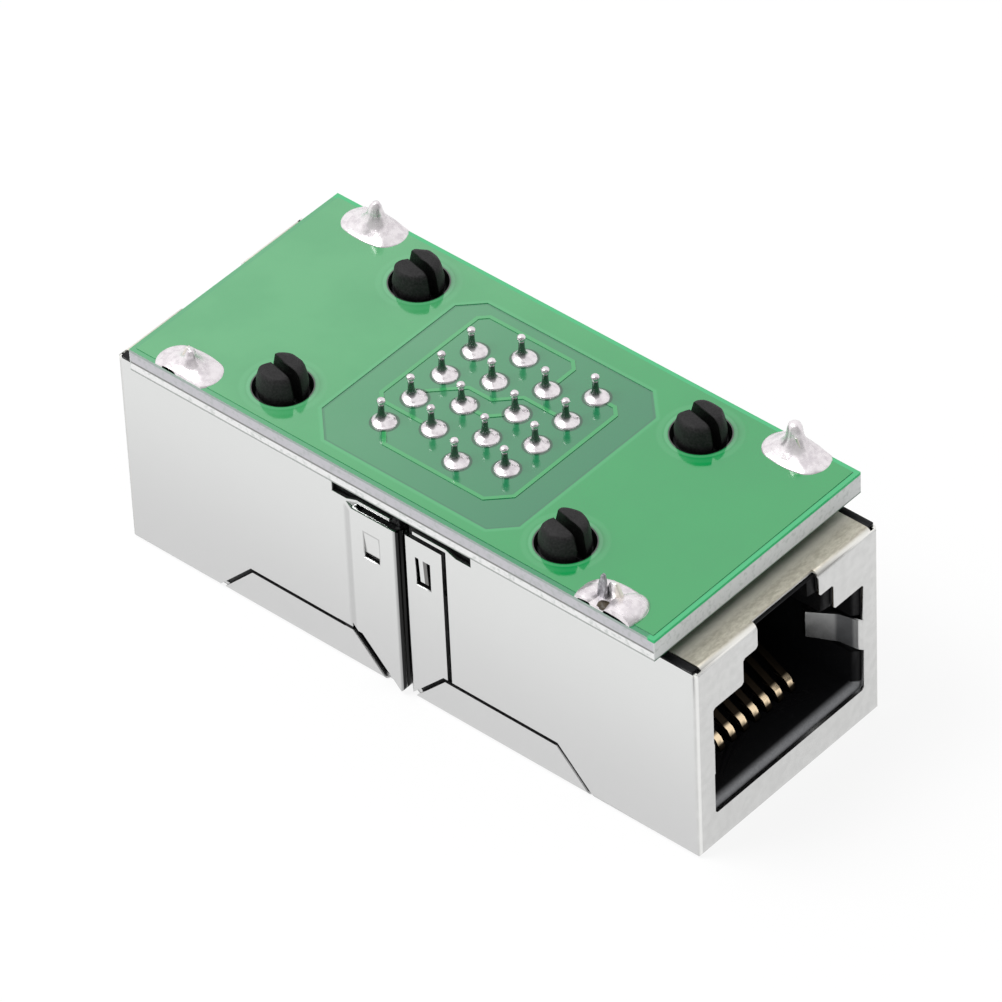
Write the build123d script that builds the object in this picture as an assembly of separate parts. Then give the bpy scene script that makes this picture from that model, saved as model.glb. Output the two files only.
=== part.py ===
from build123d import *
import math
import os

# A straight-through coupler for 8-way modular plugs: two shielded board jacks stand back to back and
# upside down under one circuit board, which is seen on top. Lengths are millimetres.
# X runs along the coupler, jack A is at +X, Z is up, and the origin is the middle of the underside.
# Jack A is modelled in place. Jack B is the same jack turned half a turn about Z.

# Jacks and board as a whole
jack_length = 21.19
jack_gap = 0.12
shell_width = 15.5
shell_height = 13.8
board_length = 38.4
board_overhang = 1.0
laminate = 1.5
copper_relief = 0.04
board_standoff = 0.5

# How far a cutter runs on past the surface that it cuts
beyond = 2.0

# Folded sheet
sheet = 0.25
side_bend = 0.3
underside_bend = 0.25
rear_bend = 0.8
chin_bend = 0.5
flange_bend = 0.45
flange_length = 5.0
flange_half_width = 7.2
flange_slot_start = 0.1
flange_slot_drop = 0.2

# Plug opening in the face: half widths of its three steps, and how far the two lower ones stay
# below the top of the shell
opening_bottom = 2.5
opening_half_widths = (6.42, 3.85, 2.62)
opening_step_drops = (3.5, 1.7)
opening_corner = 0.15
opening_setback = 0.5

# Lips folded up from the bottom, and the seam round them
lip_rear_left = 0.28
lip_front_left = 13.2
lip_rear_right = 1.7
lip_front_right = 14.1
lip_height = 2.45
lip_slant = 2.38
seam = 0.26

# Wings folded forward from the rear wall, and the notch above them with the arm that crosses it.
# Each drop is a distance down from the top of the shell.
wing_length = 2.88
wing_seam = 0.33
wing_drop = 1.7
notch_length = 5.06
notch_drop = 1.4
arm_gap = 0.06
arm_height = 0.22
arm_length = 2.42
arm_root = 0.75

# Lock of the wings: a tongue in the left wing, and the lapped wall with its tongue on the right
tongue_centre = 1.44
tongue_width = 0.58
tongue_slit = 0.27
tongue_top_drop = 2.95
tongue_height = 1.75
tongue_dip = 0.1
lap_length = 3.35
lap_joggle = 0.65
lap_gap = 0.05
lap_curl_angle = 35
lap_drop = 1.6
lap_clearance = 1.1
lap_rise = 0.55
lap_tongue_centre = 1.96
lap_tongue_width = 1.15
lap_tongue_slit = 0.35
lap_tongue_top_drop = 2.85
lap_tongue_height = 1.57
lap_tongue_dip = 0.12
lap_window_margin = 0.15

# Spring fingers that touch the plug's shield
finger_bottom = 5.45
finger_top = 7.65
finger_taper = 0.45
finger_sheet = 0.2
finger_root_depth = 0.3
finger_root = 0.14
finger_knee_depth = 1.4
finger_knee = 0.4
finger_reach_depth = 2.95
finger_reach = 1.4
finger_curl_depth = 0.3
finger_curl = 0.15

# Tabs that hold the shell in the board
tab_from_face = 5.75
tab_width = 1.6
tab_tip_width = 0.4
tab_rise = 1.3
tab_root = 0.4

# Plug well and latch slot in the housing
housing_gap = 0.05
well_floor = 2.85
well_half_width = 6.0
well_drop = 3.8
shoulder_half_width = 3.45
shoulder_drop = 1.9
latch_half_width = 2.35
latch_drop = 0.7
latch_ledge = 2.2
well_depth = 11.5
mouth_flare = 0.35
rib_gap = 0.03
finger_recess_depth = 3.7
finger_recess = 0.75
finger_recess_margin = 0.25
lock_recess = 0.25

# Split pegs and the shoulders that carry the board
peg_from_face = 10.9
peg_offset = 5.715
peg_radius = 1.55
peg_barb_radius = 1.7
peg_tip_radius = 1.28
peg_hole_radius = 1.75
peg_rise = 1.7
peg_barb_rise = 0.25
peg_dome = 0.35
peg_split = 0.6
peg_side_count = 18
shoulder_width = 4.3

# Contact insert
insert_half_width = 6.2
insert_gap = 0.05
insert_step_drop = 2.6
insert_step_length = 1.6
rail_width = 0.8
comb_depth = 1.4
comb_slot = 0.56
comb_top = 8.4
tail_channel = 0.56

# Contacts
contact_count = 8
contact_pitch = 1.016
contact_width = 0.45
contact_thickness = 0.3
contact_bend = 0.5
contact_run_height = 1.1
contact_riser_depth = 2.9
contact_riser_top = 3.24
contact_rise_angle = 30
contact_flat_depth = 8.6
contact_flat_angle = 8
contact_tip_depth = 12.2
contact_clearance = 0.07
jog_start_length = 1.33
jog_end_depth = 13.0

# Board pins: two staggered rows to a jack
tail_pitch = 1.27
tail_row_spacing = 2.54
tail_row_from_rear = 1.32
pin_radius = 0.24
pin_side_count = 8
pin_rise = 1.5
pin_tip = 0.12
pin_root = 0.3
pin_hole_radius = 0.45

# Copper pattern: the pour with its window round the pins, and the lanes of the traces
pour_inset = 0.3
window_rear = -7.4
window_front = 7.6
window_left = -7.65
window_right = 6.75
window_corners = (1.9, 1.3, 1.6, 1.3)
trace_width = 0.24
trace_corner = 1.2
trace_small_corner = 0.5
trace_end_lane = 5.72
trace_left_lane = 5.83
trace_right_lane = 5.94
trace_middle_lane = 0.65
trace_rise_start = 1.1
lower_trace_lanes = (5.1, 5.72, 6.4)

# Solder and its pads
tab_pad_length = 4.2
tab_pad_width = 2.8
tab_pad_from_middle = 7.75
tab_slot_length = 2.2
tab_slot_width = 0.9
solder_radius = 0.78
solder_side_count = 10
solder_height = 0.55
solder_waist_radius = 0.44
solder_waist_height = 0.2
solder_collar = 0.07
solder_gap = 0.01
tab_solder_base = 0.4
tab_solder_crown = 0.8
tab_solder_side_count = 14
tab_solder_spire_radius = 0.7
tab_solder_tip_radius = 0.14
tab_solder_rises = {"a_left": 2.1, "a_right": 1.6, "b_left": 2.0, "b_right": 2.1}
tab_solder_leans = {"a_left": 4, "a_right": 0, "b_left": 5, "b_right": -4}

# Places worked out from the sizes above
rear_x = jack_gap / 2
face_x = rear_x + jack_length
half_width = shell_width / 2
board_width = shell_width + 2 * board_overhang
board_bottom = shell_height + board_standoff
laminate_top = board_bottom + laminate
board_top = laminate_top + copper_relief
housing_inset = sheet + housing_gap
housing_top = shell_height - housing_inset
wing_front_x = rear_x + wing_length
flange_x = face_x - flange_length
notch_bottom = shell_height - notch_drop
wing_top = shell_height - wing_drop
tongue_top = shell_height - tongue_top_drop
tongue_bottom = tongue_top - tongue_height
lap_tongue_top = shell_height - lap_tongue_top_drop
lap_tongue_bottom = lap_tongue_top - lap_tongue_height
row_far = rear_x + tail_row_from_rear + tail_row_spacing
row_near = rear_x + tail_row_from_rear


def block(x_range, y_range, z_range):
    """A straight block or cutter between two positions along each axis."""
    middle = [(low + high) / 2 for low, high in (x_range, y_range, z_range)]
    size = [high - low for low, high in (x_range, y_range, z_range)]
    return Pos(*middle) * Box(*size)


def side_slab(outline, y_low, y_high):
    """Extrude an outline drawn in X and Z from one Y position to another."""
    return extrude(Plane.XZ.offset(-y_low) * outline, amount=y_high - y_low, dir=(0, 1, 0))


def end_slab(outline, x_low, x_high):
    """Extrude an outline drawn in Y and Z from one X position to another."""
    return extrude(Plane.YZ.offset(x_low) * outline, amount=x_high - x_low, dir=(1, 0, 0))


def plan_slab(outline, z_low, z_high):
    """Extrude an outline drawn in X and Y from one height to another."""
    return extrude(Plane.XY.offset(z_low) * outline, amount=z_high - z_low, dir=(0, 0, 1))


def on_side(solid, side):
    """The same cutter or piece for the left side (-Y, side -1) or the right side (+Y, side 1)."""
    return solid if side > 0 else mirror(solid, about=Plane.XZ)


def turned(solid):
    """The same piece of jack B."""
    return Rot(0, 0, 180) * solid


def bent_outline(low, high, bends, inset):
    """Rectangle between two corners, drawn this far inside the sheet's outer surface.

    Its bends start at the low corner and go round anticlockwise. They are arcs on the outer surface,
    and one flat each inside, where they are out of sight.
    """
    (left, bottom), (right, top) = low, high
    corners = [(left, bottom), (right, bottom), (right, top), (left, top)]
    radii = [max(bend - inset, 0) for bend in bends]
    if inset == 0:
        return make_face(FilletPolyline(corners, radius=radii, close=True))
    a, b, c, d = radii
    flats = [
        (left, bottom + a), (left + a, bottom), (right - b, bottom), (right, bottom + b),
        (right, top - c), (right - c, top), (left + d, top), (left, top - d),
    ]
    return Polygon(*dict.fromkeys(flats), align=None)


def side_outline(inset):
    """Side view of a jack."""
    low, high = (rear_x + inset, inset), (face_x - inset, shell_height - inset)
    return bent_outline(low, high, [rear_bend, chin_bend, flange_bend, 0], inset)


def jack_envelope(inset):
    """Solid block of one jack with its bends, this far inside the sheet's outer surface."""
    y_side = half_width - inset
    side_view = side_slab(side_outline(inset), -y_side, y_side)
    plan = bent_outline((rear_x + inset, -y_side), (face_x - inset, y_side), [side_bend] * 4, inset)
    end_bends = [underside_bend, underside_bend, 0, 0]
    end = bent_outline((-y_side, inset), (y_side, shell_height), end_bends, inset)
    return side_view & plan_slab(plan, 0, shell_height) & end_slab(end, rear_x, face_x)


def cut_corners(points, bend):
    """A path whose corners are each cut by one flat, as long as a bend of this radius."""
    path = [Vector(*point) for point in points]
    cut = [path[0]]
    for before, corner, after in zip(path, path[1:], path[2:]):
        back, ahead = (before - corner).normalized(), (after - corner).normalized()
        setback = bend / math.tan(math.radians(back.get_angle(ahead)) / 2)
        cut += [corner + back * setback, corner + ahead * setback]
    return cut + [path[-1]]


def strip_outline(points, width):
    """Outline of a strip of even width along straight runs, mitred where it turns."""
    path = [Vector(*point) for point in points]
    runs = [(after - before).normalized() for before, after in zip(path, path[1:])]
    left, right = [], []
    for here, arriving, leaving in zip(path, runs[:1] + runs, runs + runs[-1:]):
        along = (arriving + leaving).normalized()
        across = Vector(-along.Y, along.X) * (width / 2 / along.dot(arriving))
        left.append(here + across)
        right.append(here - across)
    return Polygon(*left, *reversed(right), align=None)


def flat_cone(rings, side_count):
    """A turned shape with flats for its round sides, through rings given as radius and height."""
    inward = math.cos(math.pi / side_count)
    stages = Part()
    for (low_radius, low), (high_radius, high) in zip(rings, rings[1:]):
        taper = math.degrees(math.atan2((low_radius - high_radius) * inward, high - low))
        section = Plane.XY.offset(low) * RegularPolygon(low_radius, side_count)
        stages += extrude(section, amount=high - low, taper=taper)
    return stages


def oval(length, width, count):
    """Oval outline with this many flats."""
    turns = [math.radians(360 * (index + 0.5) / count) for index in range(count)]
    points = [(length / 2 * math.cos(turn), width / 2 * math.sin(turn)) for turn in turns]
    return Polygon(*points, align=None)


def stepped_outline(half_widths, bottom, step_tops, top, corner):
    """Outline of a plug opening: three widths, narrower step by step towards the board."""
    wide, middle, narrow = half_widths
    right = [(wide, bottom), (wide, step_tops[0]), (middle, step_tops[0]), (middle, step_tops[1]),
             (narrow, step_tops[1]), (narrow, top)]
    left = [(-y, z) for y, z in reversed(right)]
    outline = Polygon(*right, *left, align=None)
    return chamfer(outline.vertices(), corner) if corner else outline


def lip_outline(side):
    """Side view of a lower lip, carried on below the underside so that it cuts right through."""
    slope = lip_slant / lip_height
    rear = rear_x + (lip_rear_right if side > 0 else lip_rear_left)
    front = rear_x + (lip_front_right if side > 0 else lip_front_left)
    return Polygon(
        (rear - beyond * slope, -beyond),
        (front + beyond * slope, -beyond),
        (front - lip_slant, lip_height),
        (rear + lip_slant, lip_height),
        align=None,
    )


def rear_slant_gap():
    """Gap along the rear slant of the right lip, kept by the wing and by the lapped wall over it."""
    lip = lip_outline(1)
    clear = offset(lip, lap_clearance, kind=Kind.INTERSECTION)
    corner_x, top = rear_x + lip_rear_right + lip_slant, lip_height + lap_rise
    rear = rear_x - beyond
    reach = Polygon((rear, -beyond), (corner_x, -beyond), (corner_x, top), (rear, top), align=None)
    return (clear & reach) - lip


def wall_range(side, margin=0.0):
    """Y range of a side wall's sheet, with a margin to cut through it."""
    return sorted((side * (half_width - sheet - margin), side * (half_width + margin)))


def wing_arm():
    """Thin arm of the side wall that reaches back over the wing."""
    low = notch_bottom + arm_gap
    high = low + arm_height
    root_x = wing_front_x + wing_seam
    return Polygon(
        (root_x - arm_length, low),
        (root_x, low),
        (root_x, notch_bottom - arm_height),
        (root_x + arm_root, notch_bottom - arm_height),
        (root_x + arm_root, notch_bottom),
        (root_x, high),
        (root_x - arm_length, high),
        align=None,
    )


def sloping_tongue(x_middle, width, z_low, z_high, y_outer, dip):
    """Tongue in the right-hand wall, joined at its top and pressed inwards at its lower end."""
    outline = Polygon(
        (y_outer - sheet, z_high),
        (y_outer, z_high),
        (y_outer - dip, z_low),
        (y_outer - dip - sheet, z_low),
        align=None,
    )
    return end_slab(outline, x_middle - width / 2, x_middle + width / 2)


def lapped_wall():
    """Rear of the right-hand side wall, joggled out over the wing and curled round its corner."""
    centre_y = half_width - sheet / 2
    lapped_y = centre_y + sheet + lap_gap
    lap_x = rear_x + lap_length
    corner = Vector(rear_x + side_bend, half_width - side_bend)
    curl_radius = lapped_y - corner.Y
    curl_angles = (0, lap_curl_angle / 2, lap_curl_angle)
    curl = [Vector(0, curl_radius).rotate(Axis.Z, angle) + corner for angle in curl_angles]
    plan = strip_outline([
        (lap_x + 2 * lap_joggle, centre_y),
        (lap_x + lap_joggle, centre_y),
        (lap_x, lapped_y),
        *curl,
    ], sheet)
    wall = plan_slab(plan, 0, shell_height - lap_drop)
    wall = wall & side_slab(side_outline(0), 0, shell_width)
    wall -= side_slab(rear_slant_gap(), 0, shell_width)
    wall -= side_slab(lip_outline(1), 0, shell_width)
    tongue_x = rear_x + lap_tongue_centre
    window = (tongue_x - lap_tongue_width / 2, tongue_x + lap_tongue_width / 2)
    outer_y = lapped_y + sheet / 2
    window_z = (lap_tongue_bottom - lap_tongue_slit, lap_tongue_top)
    wall -= block(window, (centre_y, outer_y + sheet), window_z)
    tongue = sloping_tongue(tongue_x, lap_tongue_width, lap_tongue_bottom, lap_tongue_top, outer_y,
                            lap_tongue_dip)
    return wall + tongue


def spring_finger():
    """Spring finger at the right of the opening, bent back into the well from the face."""
    root_y = opening_half_widths[0]
    path = [
        (face_x - finger_sheet / 2, root_y + sheet),
        (face_x - finger_sheet / 2, root_y),
        (face_x - finger_root_depth, root_y - finger_root),
        (face_x - finger_knee_depth, root_y - finger_knee),
        (face_x - finger_reach_depth, root_y - finger_reach),
        (face_x - finger_reach_depth - finger_curl_depth, root_y - finger_reach + finger_curl),
    ]
    tip_x = face_x - finger_reach_depth - 2 * finger_curl_depth
    side_view = Polygon((face_x, finger_bottom), (face_x, finger_top), (tip_x, finger_top),
                        (tip_x, finger_bottom + finger_taper), align=None)
    finger = plan_slab(strip_outline(path, finger_sheet), finger_bottom, finger_top)
    return finger & side_slab(side_view, 0, half_width)


def board_tab(grow=0.0):
    """Tab that stands up from the right side wall through the board, or grown, the room it needs."""
    tab_x = face_x - tab_from_face
    half_root, half_tip = tab_width / 2 + grow, tab_tip_width / 2 + grow
    outline = Polygon(
        (tab_x - half_root, shell_height - tab_root),
        (tab_x + half_root, shell_height - tab_root),
        (tab_x + half_root, board_top),
        (tab_x + half_tip, board_top + tab_rise + grow),
        (tab_x - half_tip, board_top + tab_rise + grow),
        (tab_x - half_root, board_top),
        align=None,
    )
    return side_slab(outline, half_width - sheet - grow, half_width + grow)


def folded_shell():
    """Shield of a jack, one folded sheet."""
    inner_y = half_width - sheet
    above = (shell_height - 2 * sheet, shell_height + beyond)
    across = (-shell_width, shell_width)
    behind_x = rear_x - beyond

    shell = jack_envelope(0) - jack_envelope(sheet)
    shell -= block((behind_x, flange_x), (-inner_y, inner_y), above)
    step_tops = [shell_height - drop for drop in opening_step_drops]
    opening = stepped_outline(opening_half_widths, opening_bottom, step_tops, shell_height + beyond,
                              opening_corner)
    shell -= end_slab(opening, face_x - opening_setback, face_x + beyond)
    shell -= block((behind_x, rear_x + notch_length), across, (notch_bottom, shell_height + beyond))
    shell -= block((behind_x, wing_front_x + wing_seam), across, (wing_top, notch_bottom + beyond))

    fold_y = half_width - side_bend
    for side in (-1, 1):
        lip = lip_outline(side)
        lip_seam = offset(lip, seam, kind=Kind.INTERSECTION) - lip
        slot_x = (flange_x, face_x - flange_slot_start)
        slot_z = (shell_height - flange_slot_drop, shell_height + beyond)
        shell -= on_side(block(slot_x, (flange_half_width, half_width + beyond), slot_z), side)
        shell -= on_side(block(slot_x, (flange_half_width, inner_y), above), side)
        shell -= on_side(side_slab(lip_seam, fold_y, half_width + beyond), side)
        upright = (wing_front_x, wing_front_x + wing_seam)
        shell -= block(upright, wall_range(side, sheet / 2), (lip_height, notch_bottom + beyond))
        shell += side_slab(wing_arm(), *wall_range(side))
        shell += on_side(spring_finger(), side)
        shell += on_side(board_tab(), side)

    shell -= side_slab(rear_slant_gap(), fold_y, half_width + beyond)
    tongue_x = rear_x + tongue_centre
    slit_x = tongue_width / 2 + tongue_slit
    shell -= block((tongue_x - slit_x, tongue_x + slit_x), wall_range(-1, sheet / 2),
                   (tongue_bottom - tongue_slit, tongue_top))
    tongue = sloping_tongue(tongue_x, tongue_width, tongue_bottom, tongue_top, half_width, tongue_dip)
    shell += on_side(tongue, -1)

    lap_x = rear_x + lap_length + lap_joggle
    shell -= block((wing_front_x, lap_x), wall_range(1, sheet / 2), (lip_height + seam, wing_top))
    window_x = rear_x + lap_tongue_centre
    window_half = lap_tongue_width / 2 + lap_window_margin
    shell -= block((window_x - window_half, window_x + window_half), wall_range(1, sheet / 2),
                   (lap_tongue_bottom - lap_tongue_slit, lap_tongue_top))
    return shell + lapped_wall()


def contact_side(number):
    """Side position of a contact in the plug well, counted from 1 at the right."""
    return ((contact_count - 1) / 2 - (number - 1)) * contact_pitch


def tail_place(number):
    """Position of a contact's board pin. Odd and even contacts stand in two staggered rows."""
    side = ((contact_count - 1) / 2 - (number - 1)) * tail_pitch
    return (row_far if number % 2 else row_near), side


def pegs():
    """The split pegs of a housing, with the shoulders that the board stands on."""
    peg = flat_cone([
        (peg_radius, board_bottom),
        (peg_radius, board_top),
        (peg_barb_radius, board_top + peg_barb_rise),
        (peg_tip_radius, board_top + peg_rise - peg_dome),
        (peg_tip_radius - peg_dome, board_top + peg_rise),
    ], peg_side_count)
    peg -= block((-beyond, beyond), (-peg_split / 2, peg_split / 2), (board_bottom, board_top + beyond))
    x = face_x - peg_from_face
    half_shoulder = shoulder_width / 2
    shoulder = block((x - half_shoulder, x + half_shoulder),
                     (peg_offset - half_shoulder, half_width - housing_inset), (housing_top, board_bottom))
    right = Pos(x, peg_offset) * peg + shoulder
    return [right, on_side(right, -1)]


def insert_pocket(grow):
    """Side view of the contact insert, grown by its fitting gap for the pocket that takes it."""
    front = face_x - well_depth
    step = front - insert_step_length
    rear = rear_x + housing_inset
    top = housing_top
    step_z = shell_height - insert_step_drop
    return Polygon(
        (front + grow, housing_inset),
        (front + grow, step_z + grow),
        (step + grow, step_z + grow),
        (step + grow, top),
        (rear, top),
        (rear, housing_inset),
        align=None,
    )


def flange_rib():
    """Rib that fills the slot beside the flange on the right, as far out as the side wall."""
    low, high = shell_height - flange_slot_drop + rib_gap, shell_height - rib_gap
    inner_y, body_y, outer_y = flange_half_width + rib_gap, half_width - housing_inset, half_width - rib_gap
    outline = Polygon((inner_y, housing_top - sheet), (body_y, housing_top - sheet), (body_y, low),
                      (outer_y, low), (outer_y, high), (inner_y, high), align=None)
    return end_slab(outline, flange_x + rib_gap, face_x - flange_slot_start - sheet)


def housing():
    """Black moulding of a jack, with its plug well, contact grooves and pegs."""
    front_x = face_x - housing_inset
    well_x = face_x - well_depth
    body = jack_envelope(housing_inset)
    well_top, shoulder_top = shell_height - well_drop, shell_height - shoulder_drop
    latch_top = shell_height - latch_drop
    well_widths = (well_half_width, shoulder_half_width, latch_half_width)
    well = stepped_outline(well_widths, well_floor, (well_top, shoulder_top), latch_top, 0)
    body -= end_slab(well, well_x, face_x)
    flared_widths = [width + mouth_flare for width in well_widths]
    flared = stepped_outline(flared_widths, well_floor - mouth_flare,
                             (well_top + mouth_flare, shoulder_top + mouth_flare),
                             latch_top + mouth_flare, 0)
    mouth_outlines = [Plane.YZ.offset(front_x) * flared, Plane.YZ.offset(front_x - mouth_flare) * well]
    body -= loft(mouth_outlines, ruled=True)
    body -= block((well_x, face_x - latch_ledge), (-shoulder_half_width, shoulder_half_width),
                  (well_top, latch_top))

    pocket = side_slab(insert_pocket(insert_gap), -insert_half_width - insert_gap,
                       insert_half_width + insert_gap)
    open_rear = block((rear_x, rear_x + 2 * housing_inset),
                      (-insert_half_width - insert_gap, insert_half_width + insert_gap),
                      (housing_inset / 2, shell_height))
    body -= pocket + open_rear

    groove_y = contact_width / 2 + contact_clearance
    groove_top = contact_run_height + contact_thickness / 2
    riser_x = face_x - contact_riser_depth + contact_thickness / 2 + contact_clearance
    slot_rear_x = face_x - contact_riser_depth - 2 * contact_bend - contact_thickness
    for number in range(1, contact_count + 1):
        y = contact_side(number)
        lane = (y - groove_y, y + groove_y)
        body -= block((well_x, riser_x), lane, (0, groove_top))
        body -= block((slot_rear_x, riser_x), lane, (0, well_floor + sheet))

    recess_y = (well_half_width - sheet, well_half_width + finger_recess)
    recess_z = (finger_bottom - finger_recess_margin, finger_top + finger_recess_margin)
    for side in (-1, 1):
        recess = block((face_x - finger_recess_depth, face_x), recess_y, recess_z)
        body -= on_side(recess, side)
        inner_y = half_width - housing_inset
        lock = block((rear_x, wing_front_x + wing_seam), (inner_y - lock_recess, half_width),
                     (lap_tongue_bottom - 2 * tongue_slit, lap_tongue_top))
        body -= on_side(lock, side)
        body += on_side(flange_rib(), side)
    for peg in pegs():
        body += peg
    return body


def contact_insert():
    """Black block pushed in behind the well: it carries the contacts and combs their tips."""
    body = side_slab(insert_pocket(0), -insert_half_width, insert_half_width)
    rail_y = insert_half_width - rail_width
    run_top = contact_run_height + contact_thickness / 2
    front_x = face_x - well_depth
    body -= block((rear_x, front_x + beyond), (-rail_y, rail_y), (0, run_top))
    half_slot = comb_slot / 2
    half_tail = tail_channel / 2
    bend_room = contact_bend + contact_thickness
    for number in range(1, contact_count + 1):
        y = contact_side(number)
        body -= block((front_x - comb_depth, front_x + beyond), (y - half_slot, y + half_slot),
                      (well_floor, comb_top))
        tail_x, tail_y = tail_place(number)
        lane = (tail_y - half_tail, tail_y + half_tail)
        body -= block((tail_x - half_tail, tail_x + half_tail), lane, (0, shell_height))
        body -= block((tail_x, tail_x + bend_room), lane, (0, run_top + bend_room))
    return body & jack_envelope(housing_inset)


def strip(points, y_middle):
    """Contact strip bent along a path drawn in X and Z."""
    outline = strip_outline(cut_corners(points, contact_bend), contact_thickness)
    return side_slab(outline, y_middle - contact_width / 2, y_middle + contact_width / 2)


def contact(number):
    """One formed contact, from its board pin to its tip in the comb."""
    tail_x, tail_y = tail_place(number)
    side_y = contact_side(number)
    run = contact_run_height
    strip_top = housing_top - pin_root
    jog_start_x, jog_end_x = row_far + jog_start_length, face_x - jog_end_depth
    tail = [(tail_x, strip_top), (tail_x, run), (jog_start_x, run)]

    riser_x = face_x - contact_riser_depth
    flat_x, tip_x = face_x - contact_flat_depth, face_x - contact_tip_depth
    flat_z = contact_riser_top + (riser_x - flat_x) * math.tan(math.radians(contact_rise_angle))
    tip_z = flat_z + (flat_x - tip_x) * math.tan(math.radians(contact_flat_angle))
    spring = [(jog_end_x, run), (riser_x, run), (riser_x, contact_riser_top), (flat_x, flat_z),
              (tip_x, tip_z)]

    half = contact_width / 2
    into_tail, into_spring = jog_start_x - contact_width, jog_end_x + contact_width
    jog = Polygon((into_tail, tail_y - half), (into_tail, tail_y + half), (jog_start_x, tail_y + half),
                  (jog_end_x, side_y + half), (into_spring, side_y + half), (into_spring, side_y - half),
                  (jog_end_x, side_y - half), (jog_start_x, tail_y - half), align=None)
    jog_solid = plan_slab(jog, run - contact_thickness / 2, run + contact_thickness / 2)

    pin = plan_slab(RegularPolygon(pin_radius, pin_side_count), strip_top - pin_root, board_top + pin_rise)
    pin = chamfer(pin.faces().sort_by(Axis.Z)[-1].edges(), pin_tip)
    return strip(tail, tail_y) + jog_solid + strip(spring, side_y) + Pos(tail_x, tail_y) * pin


def pin_solder(number):
    """Solder cone round a board pin."""
    cone = flat_cone([
        (solder_radius, laminate_top),
        (solder_waist_radius, laminate_top + solder_waist_height),
        (pin_radius + solder_collar, laminate_top + solder_height),
    ], solder_side_count)
    pin_way = RegularPolygon(pin_radius + solder_gap, pin_side_count)
    cone -= plan_slab(pin_way, board_bottom, board_top + beyond)
    return Pos(*tail_place(number)) * cone


def tab_solder(jack, hand):
    """Solder on a shield tab: a low pool with a spire, cut off at the edge of the board."""
    rise, lean = tab_solder_rises[f"{jack}_{hand}"], tab_solder_leans[f"{jack}_{hand}"]
    slope = math.degrees(math.atan2(tab_solder_crown, tab_solder_base))
    pad = oval(tab_pad_length, tab_pad_width, tab_solder_side_count)
    pool = extrude(pad, amount=tab_solder_base, taper=slope)
    spire = flat_cone([
        (tab_solder_spire_radius, tab_solder_base / 2),
        (tab_solder_spire_radius / 2, tab_solder_base + rise / 4),
        (tab_solder_tip_radius, rise),
    ], pin_side_count)
    spire = Rot(0, lean, 0) * spire
    x = face_x - tab_from_face
    joint = Pos(x, tab_pad_from_middle, board_top) * (pool + spire)
    joint -= block((x - tab_pad_length, x + tab_pad_length), (board_width / 2, board_width),
                   (board_bottom, board_top + beyond))
    joint -= board_tab(solder_gap)
    if jack == "a":
        return on_side(joint, 1 if hand == "right" else -1)
    return turned(on_side(joint, 1 if hand == "left" else -1))


def pin_places():
    """All sixteen board pins, as jack A's then jack B's."""
    own = [tail_place(number) for number in range(1, contact_count + 1)]
    return own + [(-x, -y) for x, y in own]


def window_outline():
    """The area round the pins that has no copper pour, with its cut corners."""
    low_x, high_x, low_y, high_y = window_rear, window_front, window_left, window_right
    a, b, c, d = window_corners
    corners = [
        (low_x + a, low_y), (high_x - b, low_y), (high_x, low_y + b), (high_x, high_y - c),
        (high_x - c, high_y), (low_x + d, high_y), (low_x, high_y - d), (low_x, low_y + a),
    ]
    return Polygon(*corners, align=None)


def upper_traces():
    """Upper side: four traces that join pins 1 to 4 of the two jacks, each to the same pin of the other."""
    end, left, right, middle = trace_end_lane, trace_left_lane, trace_right_lane, trace_middle_lane
    wide, small = trace_corner, trace_small_corner
    y_4, y_3, y_2, y_1 = [side * tail_pitch / 2 for side in (1, 3, 5, 7)]
    climb = middle + trace_rise_start
    routes = [
        [(-row_far, -y_1), (-row_far + wide, -left), (end - wide, -left), (end, -left + wide),
         (end, y_1 - small), (end - small, y_1), (row_far, y_1)],
        [(-row_near, -y_2), (-end + small, -y_2), (-end, -y_2 + small), (-end, right - small),
         (-end + small, right), (row_near - small, right), (row_near, right - small), (row_near, y_2)],
        [(-row_far, -y_3), (-row_far, -trace_rise_start), (-row_far + climb, middle), (-small, middle),
         (y_3 - middle - small, y_3), (row_far, y_3)],
        [(-row_near, -y_4), (row_near - 2 * y_4, -y_4), (row_near, y_4)],
    ]
    return [strip_outline(route, trace_width) for route in routes]


def lower_traces():
    """Underside: four traces for pins 5 to 8, which go round each other at jack B's end."""
    y_5, y_6, y_7, y_8 = [side * tail_pitch / 2 for side in (1, 3, 5, 7)]
    lane_6, lane_7, lane_8 = [-lane for lane in lower_trace_lanes]
    small, left = trace_small_corner, trace_left_lane
    between = -(row_far + row_near) / 2
    shift = y_8 - y_7
    routes = [
        [(row_far, -y_5), (y_5, -y_5), (-y_5, y_5), (-row_far, y_5)],
        [(row_near, -y_6), (between + small, -y_6), (between, -y_6 + small), (between, -y_5 - small),
         (between - small, -y_5), (lane_6 + small, -y_5), (lane_6, -y_5 + small), (lane_6, y_6 - small),
         (lane_6 + small, y_6), (-row_near, y_6)],
        [(row_far, -y_7), (shift / 2, -y_7), (-shift / 2, -y_8), (between + small, -y_8),
         (between + small - shift, -y_7), (lane_7 + small, -y_7), (lane_7, -y_7 + small),
         (lane_7, y_7 - small), (lane_7 + small, y_7), (-row_far, y_7)],
        [(row_near, -y_8), (row_near, -left + small), (row_near - small, -left), (lane_8 + small, -left),
         (lane_8, -left + small), (lane_8, y_8 - small), (lane_8 + small, y_8), (-row_near, y_8)],
    ]
    return [strip_outline(route, trace_width) for route in routes]


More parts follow.
